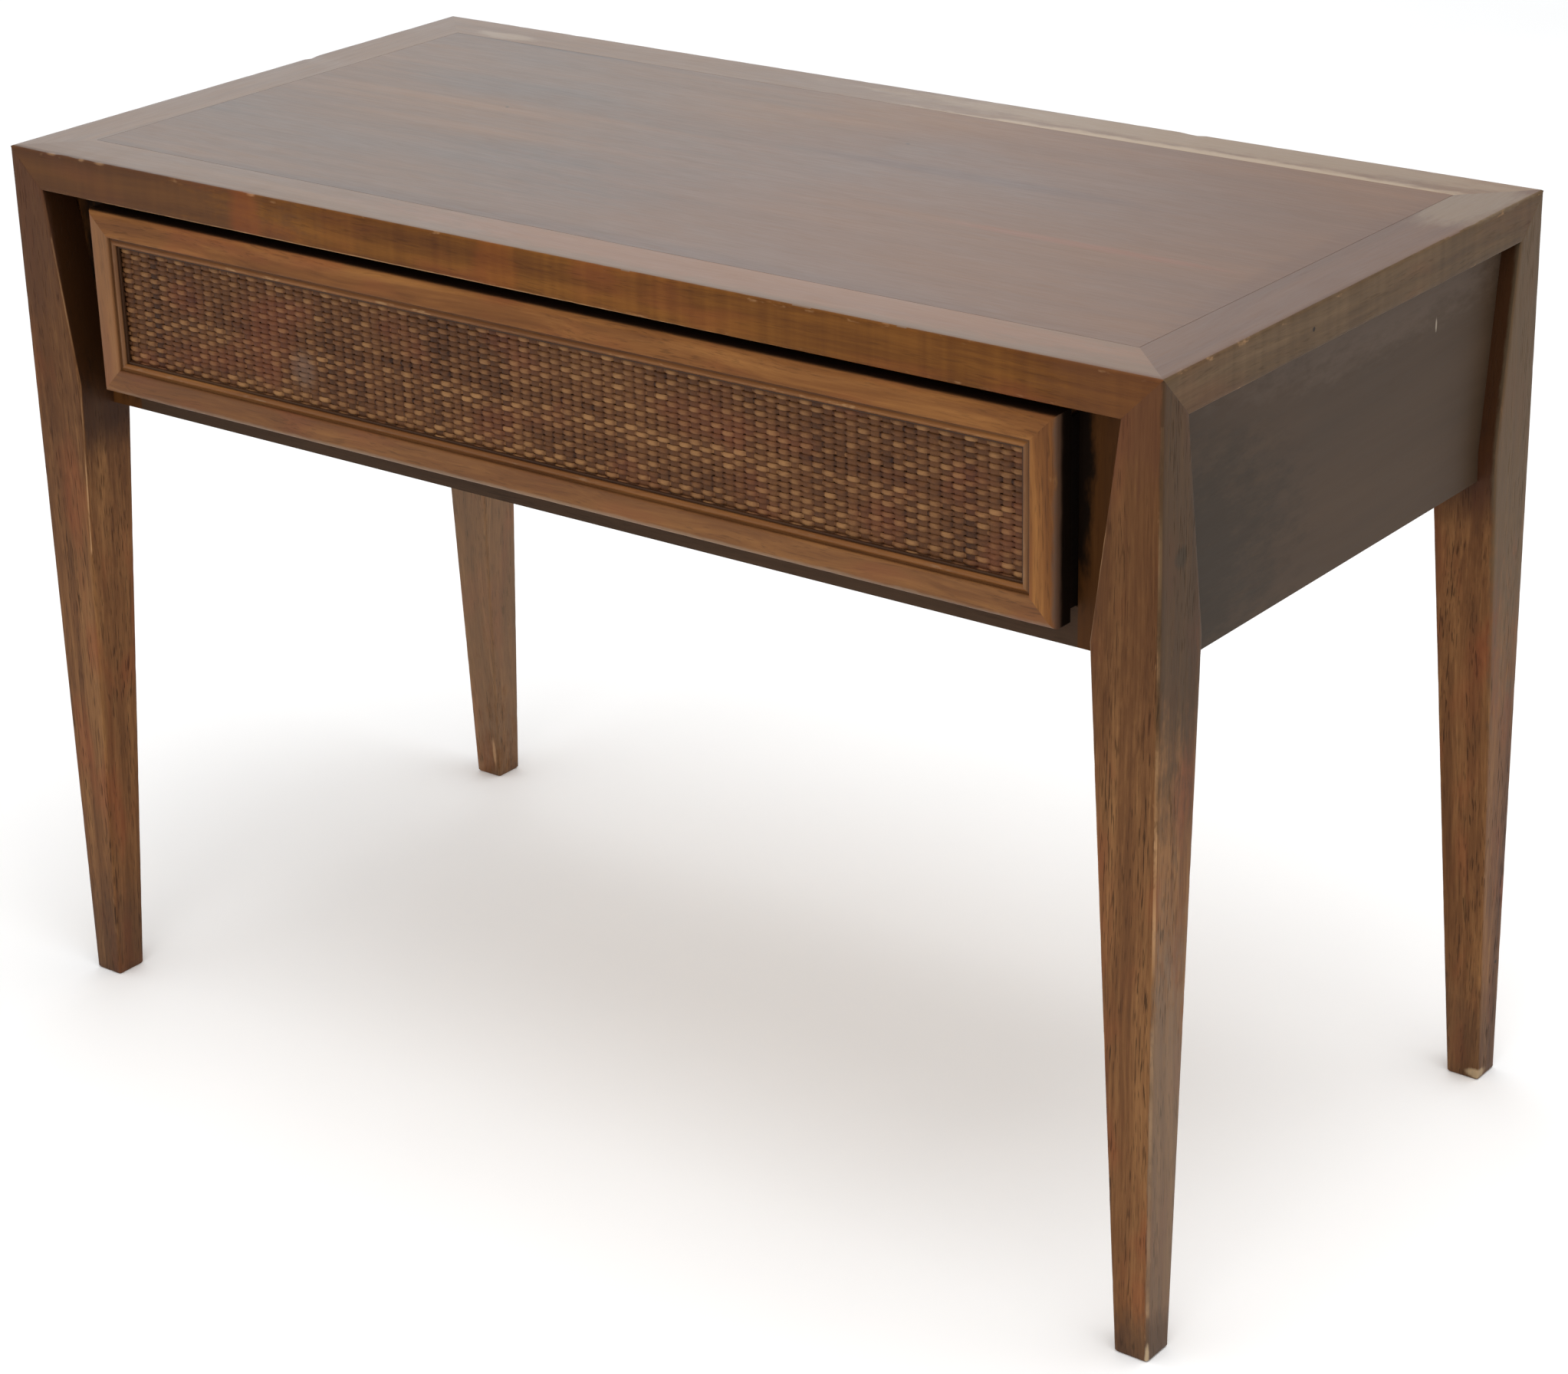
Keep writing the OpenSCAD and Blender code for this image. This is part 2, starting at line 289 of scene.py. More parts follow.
def finish_mesh(name, points, faces, node, material, wear=None, smooth_deg=40, tone=None,
                top_material=None):
    """Makes a mesh object that stands for a CAD node, rides on its body and has its slot.

    top_material, if there is one, goes on the faces that look up.
    """
    mesh = bpy.data.meshes.new(name)
    mesh.from_pydata(points, [], faces)
    for label, values in (("wear", wear), ("tone", tone)):
        if values is not None:
            layer = mesh.attributes.new(label, "FLOAT", "POINT")
            layer.data.foreach_set("value", values)
    work = bmesh.new()
    work.from_mesh(mesh)
    bmesh.ops.recalc_face_normals(work, faces=work.faces)
    work.to_mesh(mesh)
    work.free()
    mesh.shade_smooth()
    mesh.set_sharp_from_angle(angle=math.radians(smooth_deg))
    mesh.materials.append(material)
    if top_material:
        mesh.materials.append(top_material)
        for face in mesh.polygons:
            face.material_index = 1 if face.normal.z > 0.85 else 0
    piece = bpy.data.objects.new(name, mesh)
    bpy.context.scene.collection.objects.link(piece)
    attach(piece, body_of[node])
    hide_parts(node)
    return piece


def skin(rings, first=0):
    """Quads between rings of points that all have the same count, and two end caps."""
    count = len(rings[0])
    faces = []
    for r in range(len(rings) - 1):
        a, b = first + r * count, first + (r + 1) * count
        for i in range(count):
            j = (i + 1) % count
            faces.append((a + i, a + j, b + j, b + i))
    last = first + (len(rings) - 1) * count
    faces.append(tuple(first + i for i in reversed(range(count))))
    faces.append(tuple(last + i for i in range(count)))
    return faces


def dent(points, normals, wear, amount, chips=(), seed=0.0):
    """Presses worn arrises inwards a little, and more at each chip (centre, radius, depth)."""
    for i, worn in enumerate(wear):
        if worn < 0.5:
            continue
        p = points[i]
        press = max(0.0, noise.noise(p * 130 + Vector((seed, 0, 0))) - 0.05) * amount
        for centre, radius, depth in chips:
            away = (p - Vector(centre)).length / radius
            if away < 1:
                press += depth * (1 - away * away)
        points[i] = p - normals[i] * press


def arc(cu, cv, radius, start_deg, end_deg, count=5):
    """Points of an arc round (cu, cv), as (u, v)."""
    made = []
    for k in range(count):
        t = math.radians(start_deg + (end_deg - start_deg) * k / (count - 1))
        made.append((cu + radius * math.cos(t), cv + radius * math.sin(t)))
    return made


def swept(name, profile, length, end, place, node, material, amount=0.25 * MM, chips=(), seed=0.0,
          top_material=None):
    """A straight member with shaped ends, from a profile of (u, v, wear, (nu, nv)).

    end(u, v) is how far a point stops short of half the length, and place(a, u, v)
    turns the distance along and the profile's own axes into a point.
    """
    reach = max(end(u, v) for u, v, _, _ in profile)
    inner = length / 2 - reach - 1 * MM
    steps = max(1, round(2 * inner / RING_STEP))
    stations = [-inner + 2 * inner * k / steps for k in range(steps + 1)]
    origin = place(0, 0, 0)
    rings, normals, wear = [], [], []
    for k in range(-1, len(stations) + 1):
        ring = []
        for u, v, worn, (nu, nv) in profile:
            limit = length / 2 - end(u, v)
            at = -limit if k < 0 else limit if k == len(stations) else stations[k]
            ring.append(place(at, u, v))
            normals.append(place(0, nu, nv) - origin)
            wear.append(worn)
        rings.append(ring)
    points = [p for ring in rings for p in ring]
    dent(points, normals, wear, amount, chips, seed)
    return finish_mesh(name, points, skin(rings), node, material, wear, top_material=top_material)


# ---------------------------------------------------------------- colours

FIELD = (srgb(62, 42, 27), srgb(86, 60, 39), srgb(108, 77, 50))
BAND_TOP = (srgb(80, 56, 38), srgb(98, 72, 50), srgb(116, 88, 64))
BAND_DARK = (srgb(66, 42, 26), srgb(82, 54, 36), srgb(98, 68, 46))
RAIL = (srgb(76, 40, 8), srgb(97, 57, 15), srgb(119, 74, 24))
SIDE_RAIL = (srgb(64, 46, 28), srgb(82, 62, 40), srgb(100, 78, 54))
LEG = (srgb(70, 41, 20), srgb(102, 66, 36), srgb(134, 94, 56))
CASE = (srgb(58, 45, 33), srgb(67, 52, 39), srgb(76, 60, 46))
STILE = (srgb(62, 35, 13), srgb(78, 46, 18), srgb(92, 58, 28))
LOW_RAIL = (srgb(54, 38, 26), srgb(66, 48, 34), srgb(78, 58, 42))
FRONT = (srgb(88, 50, 18), srgb(114, 70, 30), srgb(142, 94, 46))
CANE = (srgb(42, 20, 9), srgb(93, 58, 31), srgb(140, 101, 62))
MAPLE = (srgb(168, 132, 88), srgb(190, 154, 108), srgb(206, 174, 130))
BACKING = (srgb(30, 18, 12), srgb(40, 25, 16), srgb(52, 33, 22))
PALE_WEAR = srgb(176, 136, 96)
SOOT = srgb(28, 18, 12)
# Grime with painted shade for recesses, and painted shade for the darkest places
GRIME_AND_SHADE = srgb(34, 20, 14)
PAINTED_SHADE = srgb(12, 7, 4)
# Painted shade on the drawer front's top face
EDGE_PAINTED_SHADE = srgb(30, 18, 11)
BLUSH = srgb(124, 62, 34)
CORNER_RED = srgb(84, 50, 30)


# ---------------------------------------------------------------- the top's frame

def top_profile():
    """Profile of the top's frame: u inwards from the outer edge, v up from the floor."""
    made = []
    for u, v in arc(INNER_R, frame_z + INNER_R, INNER_R, 270, 180):
        made.append((u, v, 1.0, ((u - INNER_R) / INNER_R, (v - frame_z - INNER_R) / INNER_R)))
    made.append((0, frame_z + INNER_R + 2.2 * MM, 0.0, (-1, 0)))
    made.append((0, table_h - ARRIS_R - 2.5 * MM, 0.0, (-1, 0)))
    for u, v in arc(ARRIS_R, table_h - ARRIS_R, ARRIS_R, 180, 90):
        made.append((u, v, 1.0, ((u - ARRIS_R) / ARRIS_R, (v - table_h + ARRIS_R) / ARRIS_R)))
    made.append((ARRIS_R + 2.5 * MM, table_h, 0.0, (0, 1)))
    made.append((band_w - JOINT_R - 1.5 * MM, table_h, 0.0, (0, 1)))
    made.append((band_w - JOINT_R, table_h, 0.3, (0, 1)))
    made.append((band_w, table_h - JOINT_R, 0.3, (1, 0)))
    made.append((band_w, frame_z, 0.0, (0, -1)))
    made.append((edge_t, frame_z, 0.0, (0, -1)))
    made.append((INNER_R + 2.2 * MM, frame_z, 0.0, (0, -1)))
    return made


def top_end(u, v):
    return max(u, table_h - v)


TOP_PLACES = {
    "front": (2 * half_w, lambda a, u, v: Vector((a, u - half_d, v))),
    "back": (2 * half_w, lambda a, u, v: Vector((-a, half_d - u, v))),
    "left": (2 * half_d, lambda a, u, v: Vector((u - half_w, -a, v))),
    "right": (2 * half_d, lambda a, u, v: Vector((half_w - u, a, v))),
}

# Dents in the top's arrises: centre, radius and depth
TOP_CHIPS = {
    "front": [((-0.372, -half_d, table_h), 0.007, 0.9 * MM),
              ((-0.352, -half_d, table_h), 0.004, 0.7 * MM),
              ((-0.330, -half_d, table_h), 0.005, 0.6 * MM),
              ((-0.205, -half_d, table_h), 0.004, 0.5 * MM)],
    "back": [((0.18, half_d, table_h), 0.006, 0.7 * MM)],
    "left": [((-half_w, 0.06, table_h), 0.006, 0.7 * MM)],
    "right": [((half_w, 0.12, table_h), 0.005, 0.6 * MM)],
}

# Worn and darker places on the top's frame, as wood() takes them
TOP_MARKS = {
    "front": [((-0.371, -half_d, table_h), (0.006, 0.003, 0.002), PALE_WEAR, 0.9),
              ((-0.345, -half_d, table_h), (0.004, 0.002, 0.002), PALE_WEAR, 0.8),
              ((-0.330, -half_d, table_h), (0.006, 0.003, 0.002), PALE_WEAR, 0.8),
              ((-0.205, -half_d, table_h), (0.005, 0.002, 0.002), PALE_WEAR, 0.7),
              ((-0.36, -half_d, 0.535), (0.24, 0.006, 0.05), srgb(70, 46, 32), 0.60),
              ((-0.21, -half_d, 0.538), (0.016, 0.004, 0.03), srgb(132, 66, 30), 0.35),
              ((-0.02, -half_d, 0.538), (0.020, 0.004, 0.03), srgb(126, 64, 24), 0.30),
              ((half_w, -half_d, 0.545), (0.09, 0.006, 0.06), CORNER_RED, 0.5),
              ((0.14, -half_d + 0.024, table_h), (0.34, 0.022, 0.004), srgb(122, 80, 54), 0.42),
              ((-0.10, -half_d, frame_z), (0.34, 0.003, 0.0012), PALE_WEAR, 0.6)],
    "back": [((0.22, half_d - band_w, table_h), (0.26, 0.010, 0.004), srgb(166, 146, 120), 0.55),
             ((0.20, half_d - 0.012, table_h), (0.30, 0.020, 0.004), srgb(140, 122, 100), 0.45),
             ((-0.335, half_d - band_w + 0.010, table_h), (0.030, 0.009, 0.004),
              srgb(146, 130, 110), 0.45)],
    "left": [],
    "right": [((half_w, -0.055, 0.541), (0.004, 0.0016, 0.0016), SOOT, 0.9),
              ((half_w - 0.02, 0.15, table_h), (0.03, 0.06, 0.004), srgb(132, 118, 98), 0.40)],
}

for index, (side, (length, place)) in enumerate(TOP_PLACES.items()):
    node = "top_frame_" + side
    level = side in ("front", "back")
    grain = "x" if level else "y"
    seed = 3 + 1.7 * index
    marks = TOP_MARKS[side]
    upright = wood("walnut_" + node, grain, *(RAIL if level else SIDE_RAIL), seed=seed, chatter=0.34,
                   wear=0.4, worn=PALE_WEAR, rings=0.45, ring_pitch=4 * MM, pores=0.22, marks=marks,
                   rough=0.5, specular=0.12, blush=0.3 if level else 0.1)
    polished = wood("walnut_top_" + side, grain, *(BAND_DARK if side == "right" else BAND_TOP), seed=seed,
                    wear=0.3, worn=PALE_WEAR, figure=0.5, rings=0.3, ring_pitch=5 * MM, pores=0.06,
                    marks=marks, rough=0.42, specular=0.5, bump=0.12)
    swept(node + "_wood", top_profile(), length, top_end, place, node, upright,
          chips=TOP_CHIPS[side], seed=index, top_material=polished)


# ---------------------------------------------------------------- the legs

def leg_width(z):
    """Width of a leg's square section at a height."""
    levels = [(0, foot_w), (knee_z, knee_w), (frame_z, edge_t), (table_h, 0)]
    for (z0, w0), (z1, w1) in zip(levels, levels[1:]):
        if z <= z1:
            return w0 + (w1 - w0) * (z - z0) / (z1 - z0)
    return 0.0


def leg_ring(z):
    """A leg's section as (x, y, wear, (nx, ny)), with x and y measured inwards."""
    w = leg_width(z)
    fade = min(1.0, max(0.0, (frame_z + INNER_R - z) / INNER_R))
    inner = max(0.03 * MM, INNER_R * fade)
    clear = max(0.0, 1 - w / ARRIS_R)
    turn = math.degrees(math.asin(min(0.7, clear)))
    made = [(x, y, 1.0, ((x - ARRIS_R) / ARRIS_R, (y - ARRIS_R) / ARRIS_R))
            for x, y in arc(ARRIS_R, ARRIS_R, ARRIS_R, 180 + turn, 270 - turn)]
    near = made[-1][0] + (w - made[-1][0]) * min(0.4, SUPPORT / w)
    edge = made[-1][1]
    far = w - min(inner + SUPPORT, 0.3 * w)
    made.append((near, edge * (w - near) / w, 0.0, (0, -1)))
    made.append((max(far, near), 0, 0.0, (0, -1)))
    corners = [((w, 0), (-1, 1), -90, (1, 0)),
               ((w, w), (-1, -1), 0, (0, 1)),
               ((0, w), (1, -1), 90, (-1, 0))]
    for (cx, cy), (sx, sy), start, (fx, fy) in corners:
        ox, oy = cx + sx * inner, cy + sy * inner
        for x, y in arc(ox, oy, inner, start, start + 90, 4):
            made.append((x, y, fade, ((x - ox) / inner, (y - oy) / inner)))
        for share in (SUPPORT / w, 1 - SUPPORT / w):
            share = min(0.7, max(0.3, share)) if w < 3 * SUPPORT else share
            if (fx, fy) == (1, 0):
                made.append((w, w * share, 0.0, (1, 0)))
            elif (fx, fy) == (0, 1):
                made.append((w * (1 - share), w, 0.0, (0, 1)))
            elif share < 0.5:
                made.append((0, max(far, near), 0.0, (-1, 0)))
            else:
                made.append((edge * (w - near) / w, near, 0.0, (-1, 0)))
    return made


def leg_points(z, inset=0.0):
    """The ring at a height, drawn inwards by inset."""
    ring = leg_ring(z)
    w = leg_width(z)
    limit = 1 - 2 * inset / w if inset else 1
    return [(w / 2 + (x - w / 2) * limit, w / 2 + (y - w / 2) * limit, worn, n) for x, y, worn, n in ring]


def leg_levels():
    """Heights of a leg's rings, closer together at the foot, the knee and the top."""
    top = table_h - 0.34 * ARRIS_R
    steps = round(knee_z / RING_STEP)
    levels = [1.2 * MM + (knee_z - 1.2 * MM) * k / steps for k in range(steps + 1)]
    steps = round((frame_z - knee_z) / RING_STEP)
    levels += [knee_z + (frame_z - knee_z) * k / steps for k in range(1, steps + 1)]
    levels += [frame_z + INNER_R * k / 3 for k in range(1, 4)]
    levels += [frame_z + INNER_R + (top - frame_z - INNER_R) * k / 5 for k in range(1, 5)]
    levels += [table_h - ARRIS_R, table_h - 0.7 * ARRIS_R, top]
    return sorted(levels)


FEET_DARK = (srgb(62, 44, 32), 0.4)
FEET_PALE = (srgb(146, 122, 98), 0.35)

# On the front right leg the outer side is darker high up, painted shade, and paler low down, painted light
# from the floor; the back right leg's outer side is greyer, a painted sheen; the front left leg's face is
# darker at its top, painted shade
LEG_MARKS = {
    "front_right": [((half_w, -half_d + 0.019, 0.457), (0.004, 0.007, 0.007), srgb(40, 26, 16), 0.7),
                    ((half_w - 0.01, -half_d, 0.54), (0.05, 0.006, 0.05), CORNER_RED, 0.5),
                    ((half_w, -half_d + 0.020, 0.49), (0.0025, 0.05, 0.22), srgb(54, 44, 28), 0.6),
                    ((half_w, -half_d + 0.010, 0.08), (0.0025, 0.05, 0.22), srgb(112, 96, 80), 0.55),
                    ((half_w, -half_d + 0.010, 0.0), (0.06, 0.06, 0.035), srgb(64, 48, 38), 0.55),
                    ((half_w, -half_d, 0.003), (0.0022, 0.0022, 0.012), srgb(190, 166, 132), 0.7)],
    "front_left": [((-half_w, -half_d, 0.52), (0.05, 0.006, 0.10), srgb(72, 46, 32), 0.5)],
    "back_right": [((half_w, half_d - 0.006, 0.075), (0.003, 0.0016, 0.0016), SOOT, 0.9),
                   ((half_w, half_d - 0.012, 0.47), (0.004, 0.08, 0.26), srgb(84, 70, 52), 0.70),
                   ((half_w, half_d - 0.020, 0.004), (0.01, 0.01, 0.004), srgb(190, 166, 130), 0.6)],
    "back_left": [((-half_w + 0.018, half_d - 0.021, 0.02), (0.002, 0.003, 0.018), PALE_WEAR, 0.7),
                  ((-half_w, half_d, 0.20), (0.1, 0.1, 0.30), *FEET_PALE)],
}

# The section's points on the side that faces the other leg of a pair, and on the side
# that faces along the case
INNER_SIDE = range(10, 14)
CASE_SIDE = range(16, 20)

# Wear values that paint shade on those sides: nearly black on the front legs, less on the back ones
FRONT_SHADE = -1.9
BACK_SHADE = -1.4
SHADE_FROM_Z = 0.35     # the shade starts at this height
SHADE_FADE = 0.07       # and is full this much higher

# Arrises rubbed pale: the section's points, and the lowest and highest z
RUBBED = {
    "front_right": [(range(1, 4), 0.03, 0.53), (range(8, 10), 0.18, 0.47)],
    "front_left": [(range(8, 10), 0.30, 0.50)],
    "back_right": [(range(1, 4), 0.35, 0.50)],
    "back_left": [],
}


def make_leg(across, along):
    label = ("back" if along > 0 else "front") + "_" + ("right" if across > 0 else "left")
    node = "leg_" + label
    feet_dark = ((across * half_w, along * half_d, 0.0), (0.2, 0.2, 0.085), *FEET_DARK)
    # Painted shade: each leg darker towards its top
    top_dark = ((across * half_w, along * half_d, table_h), (0.3, 0.3, 0.26), srgb(66, 36, 12), 0.5)
    feet = [feet_dark] if label in ("front_left", "back_right") else []
    material = wood("walnut_" + node, "z", *LEG, seed=20 + 3 * across + 7 * along, figure=0.95, rings=0.5,
                    pores=0.65, fibre=0.9, ring_pitch=3 * MM, wear=0.35, worn=PALE_WEAR, rough=0.5,
                    specular=0.12, blush=0.42, marks=[top_dark, *feet, *LEG_MARKS[label]])
    rings, normals, wear = [], [], []
    sections = [(0.0, leg_points(0.0, 0.9 * MM))] + [(z, leg_points(z)) for z in leg_levels()]
    for z, section in sections:
        rings.append([Vector((across * (half_w - x), along * (half_d - y), z)) for x, y, _, _ in section])
        normals += [Vector((-across * nx, -along * ny, 0)) for _, _, _, (nx, ny) in section]
        worn = [w for _, _, w, _ in section]
        for places, low, high in RUBBED[label]:
            if low < z < high:
                for i in places:
                    worn[i] = 1.45 + 0.8 * noise.noise(Vector((z * 25, across, along)))
        # Painted shade on the side that faces into the recess
        recess = min(1.0, max(0.0, (z - SHADE_FROM_Z) / SHADE_FADE))
        dark_side, depth = (INNER_SIDE, FRONT_SHADE) if along < 0 else (CASE_SIDE, BACK_SHADE)
        for i in dark_side:
            worn[i] = depth * recess
        wear += worn
    points = [p for ring in rings for p in ring]
    dent(points, normals, wear, 0.22 * MM, seed=across + 3 * along)
    finish_mesh(node + "_wood", points, skin(rings), node, material, wear)


for across in (-1, 1):
    for along in (-1, 1):
        make_leg(across, along)


# ---------------------------------------------------------------- the drawer front

front_low = Vector(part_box("front_frame_left")[0])
front_high = Vector(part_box("front_frame_right")[1])
front_y = front_low.y
front_half_w = front_high.x
front_mid_z = (front_low.z + front_high.z) / 2
front_half_h = (front_high.z - front_low.z) / 2
front_t = front_high.y - front_low.y
cane_low, cane_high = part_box("cane_panel")
cane_depth = cane_low.y - front_y
cane_t = cane_high.y - cane_low.y
lip_w = front_half_w - cane_high.x
member_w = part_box("front_bead_left")[0].x + front_half_w
bead_w = 6 * MM
bead_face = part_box("front_bead_top")[0].y - front_y

FRONT_R = 3.8 * MM      # outer arris of the drawer front


def member_profile():
    """Profile of the drawer front's frame: u inwards, v back from the face."""
    made = [(0, front_t, 0.0, (-1, 0)), (0, FRONT_R + 1.5 * MM, 0.0, (-1, 0))]
    for u, v in arc(FRONT_R, FRONT_R, FRONT_R, 180, 270, 7):
        made.append((u, v, 1.0, ((u - FRONT_R) / FRONT_R, (v - FRONT_R) / FRONT_R)))
    made.append((FRONT_R + 1.5 * MM, 0, 0.0, (0, -1)))
    made.append((member_w - 1.8 * MM, 0, 0.0, (0, -1)))
    # Negative wear towards the cane: grime with painted shade in the recess
    small = 0.9 * MM
    for u, v in arc(member_w - small, small, small, 270, 360, 4):
        made.append((u, v, -0.15, (0, -1)))
    made.append((member_w, bead_face + 1.0 * MM, -0.6, (1, 0)))
    made.append((member_w, cane_depth, -1.0, (1, 0)))
    made.append((lip_w, cane_depth, 0.0, (0, 1)))
    made.append((lip_w, front_t, 0.0, (0, 1)))
    return made


def bead_profile():
    """Profile of the bead strip: a round between two low quirks, measured like the frame's."""
    quirk = 1.4 * MM
    radius = bead_w / 2 - quirk + 0.1 * MM
    base = cane_depth - 1.2 * MM
    shoulder = bead_face + 1.0 * MM
    centre_u, centre_v = member_w + quirk + radius, bead_face + radius
    # Negative wear in the quirks and at the foot of the bead: grime with painted shade
    made = [(member_w, cane_depth, -1.0, (0, 1)), (member_w, shoulder, -0.5, (0, -1)),
            (member_w + quirk, shoulder, -0.5, (0, -1))]
    shares = (-0.3, 0.3, 0.9, 1.3, 1.0, 0.4, -0.1, -0.8)
    for share, (u, v) in zip(shares, arc(centre_u, centre_v, radius, 210, 360, len(shares))):
        made.append((u, v, share, (0, -1)))
    made += [(centre_u + radius, base, -1.0, (0, -1)), (member_w + bead_w, base, -1.0, (1, 0)),
             (member_w + bead_w, cane_depth, -1.0, (1, 0))]
    return made


def front_place(side):
    """Turns a member's own axes into a point, for one side of the drawer front."""
    if side == "top":
        return lambda a, u, v: Vector((a, front_y + v, front_mid_z + front_half_h - u))
    if side == "bottom":
        return lambda a, u, v: Vector((-a, front_y + v, front_mid_z - front_half_h + u))
    if side == "left":
        return lambda a, u, v: Vector((u - front_half_w, front_y + v, front_mid_z + a))
    return lambda a, u, v: Vector((front_half_w - u, front_y + v, front_mid_z - a))


DRAWER_Z = 0.47         # about the drawer's middle height, for marks as tall as the drawer
WHOLE = 3.0             # a radius that takes in the whole drawer

# Painted shade, laid on twice, which leaves the right edge of the drawer front nearly black
DEEP_SIDE = ((front_half_w, front_y + 0.0135, DRAWER_Z), (0.004, 0.0095, WHOLE), PAINTED_SHADE, 1.0, 0.3)
# Painted shade on the top face, hidden under the top, and on the right side back from the face; the right
# side is greyer near the face, a painted sheen
FRONT_MARKS = {
    "top": [((0, front_y + 0.013, front_high.z), (WHOLE, 0.021, 0.0014), EDGE_PAINTED_SHADE, 1.0, 0.2)],
    "bottom": [((0, front_y + 0.002, front_low.z + 0.002), (0.50, 0.004, 0.0022),
                srgb(150, 128, 104), 0.50),
               ((0, front_y, front_low.z + 0.008), (WHOLE, 0.005, 0.030), srgb(84, 62, 48), 0.30)],
    "left": [((-front_half_w, front_y + 0.012, DRAWER_Z), (0.0015, 0.014, WHOLE), srgb(58, 44, 34), 0.8),
             ((-front_half_w + 0.01, front_y, DRAWER_Z), (0.02, 0.004, 0.10), srgb(132, 98, 70), 0.40)],
    "right": [((front_half_w, front_y + 0.008, DRAWER_Z), (0.0032, 0.012, WHOLE), srgb(84, 64, 52), 0.85),
              DEEP_SIDE, DEEP_SIDE],
}

for index, side in enumerate(("top", "bottom", "left", "right")):
    level = side in ("top", "bottom")
    length = 2 * (front_half_w if level else front_half_h)
    material = wood("walnut_front_" + side, "x" if level else "z", *FRONT, seed=40 + 2.3 * index,
                    figure=1.2, rings=0.6, ring_pitch=4 * MM, wear=0.15, worn=srgb(190, 148, 100),
                    pores=0.3, slant=0.05 if level else 0.0, waves=3.0, wander=14 * MM, rough=0.45,
                    specular=0.15, blush=0.35, marks=FRONT_MARKS[side])
    swept("front_frame_" + side + "_wood", member_profile(), length, lambda u, v: u, front_place(side),
          "front_frame_" + side, material, amount=0.2 * MM, seed=index)
    bead_material = wood("walnut_bead_" + side, "x" if level else "z", *(FRONT if level else LEG),
                         seed=50 + 1.9 * index, rings=0.4, wear=0.45, pores=0.2, rough=0.42, specular=0.2,
                         worn=srgb(176, 140, 96) if side == "top" else srgb(134, 108, 82))
    swept("front_bead_" + side + "_wood", bead_profile(), length, lambda u, v: u, front_place(side),
          "front_bead_" + side, bead_material, amount=0.12 * MM, seed=index + 9)


# ---------------------------------------------------------------- the woven cane

WARP_PITCH = 7.42 * MM
WEFT_PITCH = 3.05 * MM
WEFT_W = 2.95 * MM
WARP_W = 6.1 * MM
STRAND_T = 1.25 * MM


def strand(points, faces, tones, centres, sideways, width, thickness, tone_at):
    """Adds one flat strand with a domed face along a list of centre points."""
    section = [(-0.5, 0.25), (-0.44, -0.10), (-0.24, -0.42), (0.0, -0.5), (0.24, -0.42), (0.44, -0.10),
               (0.5, 0.25), (0.0, 0.5)]
    first = len(points)
    rings = []
    for k, centre in enumerate(centres):
        ring = [centre + sideways * (s * width) + Vector((0, d * thickness, 0)) for s, d in section]
        rings.append(ring)
        points.extend(ring)
        tones.extend([tone_at(k)] * len(section))
    faces.extend(skin(rings, first))


def crown_tone(wave):
    """Lighter on a crossing's crown, a painted highlight, and darker where the strand dives between the
    warps, painted shade and dirt.
    """
    return 0.08 * max(0.0, wave) - 0.18 * (1 - abs(wave)) ** 2


def weave():
    """Plain weave: level wefts over and under upright warps, every strand a solid."""
    rng = random.Random(11)
    points, faces, tones = [], [], []
    under_bead = 3 * MM
    half_x = front_half_w - member_w - bead_w + under_bead
    half_z = front_half_h - member_w - bead_w + under_bead
    mid_y = cane_low.y + cane_t / 2
    swing = cane_t / 2 - STRAND_T / 2 - 0.05 * MM
    columns = int(half_x / WARP_PITCH)
    rows = int(half_z / WEFT_PITCH)
    per_cross = 6
    for row in range(-rows, rows + 1):
        tone = rng.gauss(0.0, 0.05)
        lean = rng.uniform(-0.12, 0.12) * MM
        steps = [rng.gauss(0, 0.08) for _ in range(2 * columns + 4)]
        count = int(2 * half_x / WARP_PITCH * per_cross)
        centres = []
        waves = []
        for k in range(count + 1):
            x = -half_x + 2 * half_x * k / count
            phase = math.pi * (x / WARP_PITCH + row)
            wave = math.cos(phase)
            waves.append(wave)
            flat = math.copysign(abs(wave) ** 0.8, wave)
            unevenness = 0.10 * MM * noise.noise(Vector((x * 60, row * 3.1, 0)))
            z = front_mid_z + row * WEFT_PITCH + lean + unevenness
            centres.append(Vector((x, mid_y - swing * flat, z)))
        strand(points, faces, tones, centres, Vector((0, 0, 1)), WEFT_W * rng.uniform(0.9, 1.02), STRAND_T,
               lambda k: tone + crown_tone(waves[k]) + steps[int((k / per_cross) + 0.5) % len(steps)])
    for column in range(-columns, columns + 1):
        # The warps are darker: painted shade, as they lie deeper
        tone = rng.gauss(-0.16, 0.05)
        lean = rng.uniform(-0.25, 0.25) * MM
        count = int(2 * half_z / WEFT_PITCH * 4)
        centres = []
        for k in range(count + 1):
            z = -half_z + 2 * half_z * k / count
            wave = math.cos(math.pi * (z / WEFT_PITCH + column))
            x = column * WARP_PITCH + lean + 0.25 * MM * noise.noise(Vector((column * 2.7, z * 40, 4)))
            centres.append(Vector((x, mid_y + swing * (0.45 * wave + 0.2), front_mid_z + z)))
        strand(points, faces, tones, centres, Vector((1, 0, 0)), WARP_W * rng.uniform(0.85, 1.05),
               STRAND_T * 0.8, lambda k: tone)
    return points, faces, tones


DULL_SPOT = (-0.178, front_y, 0.452)


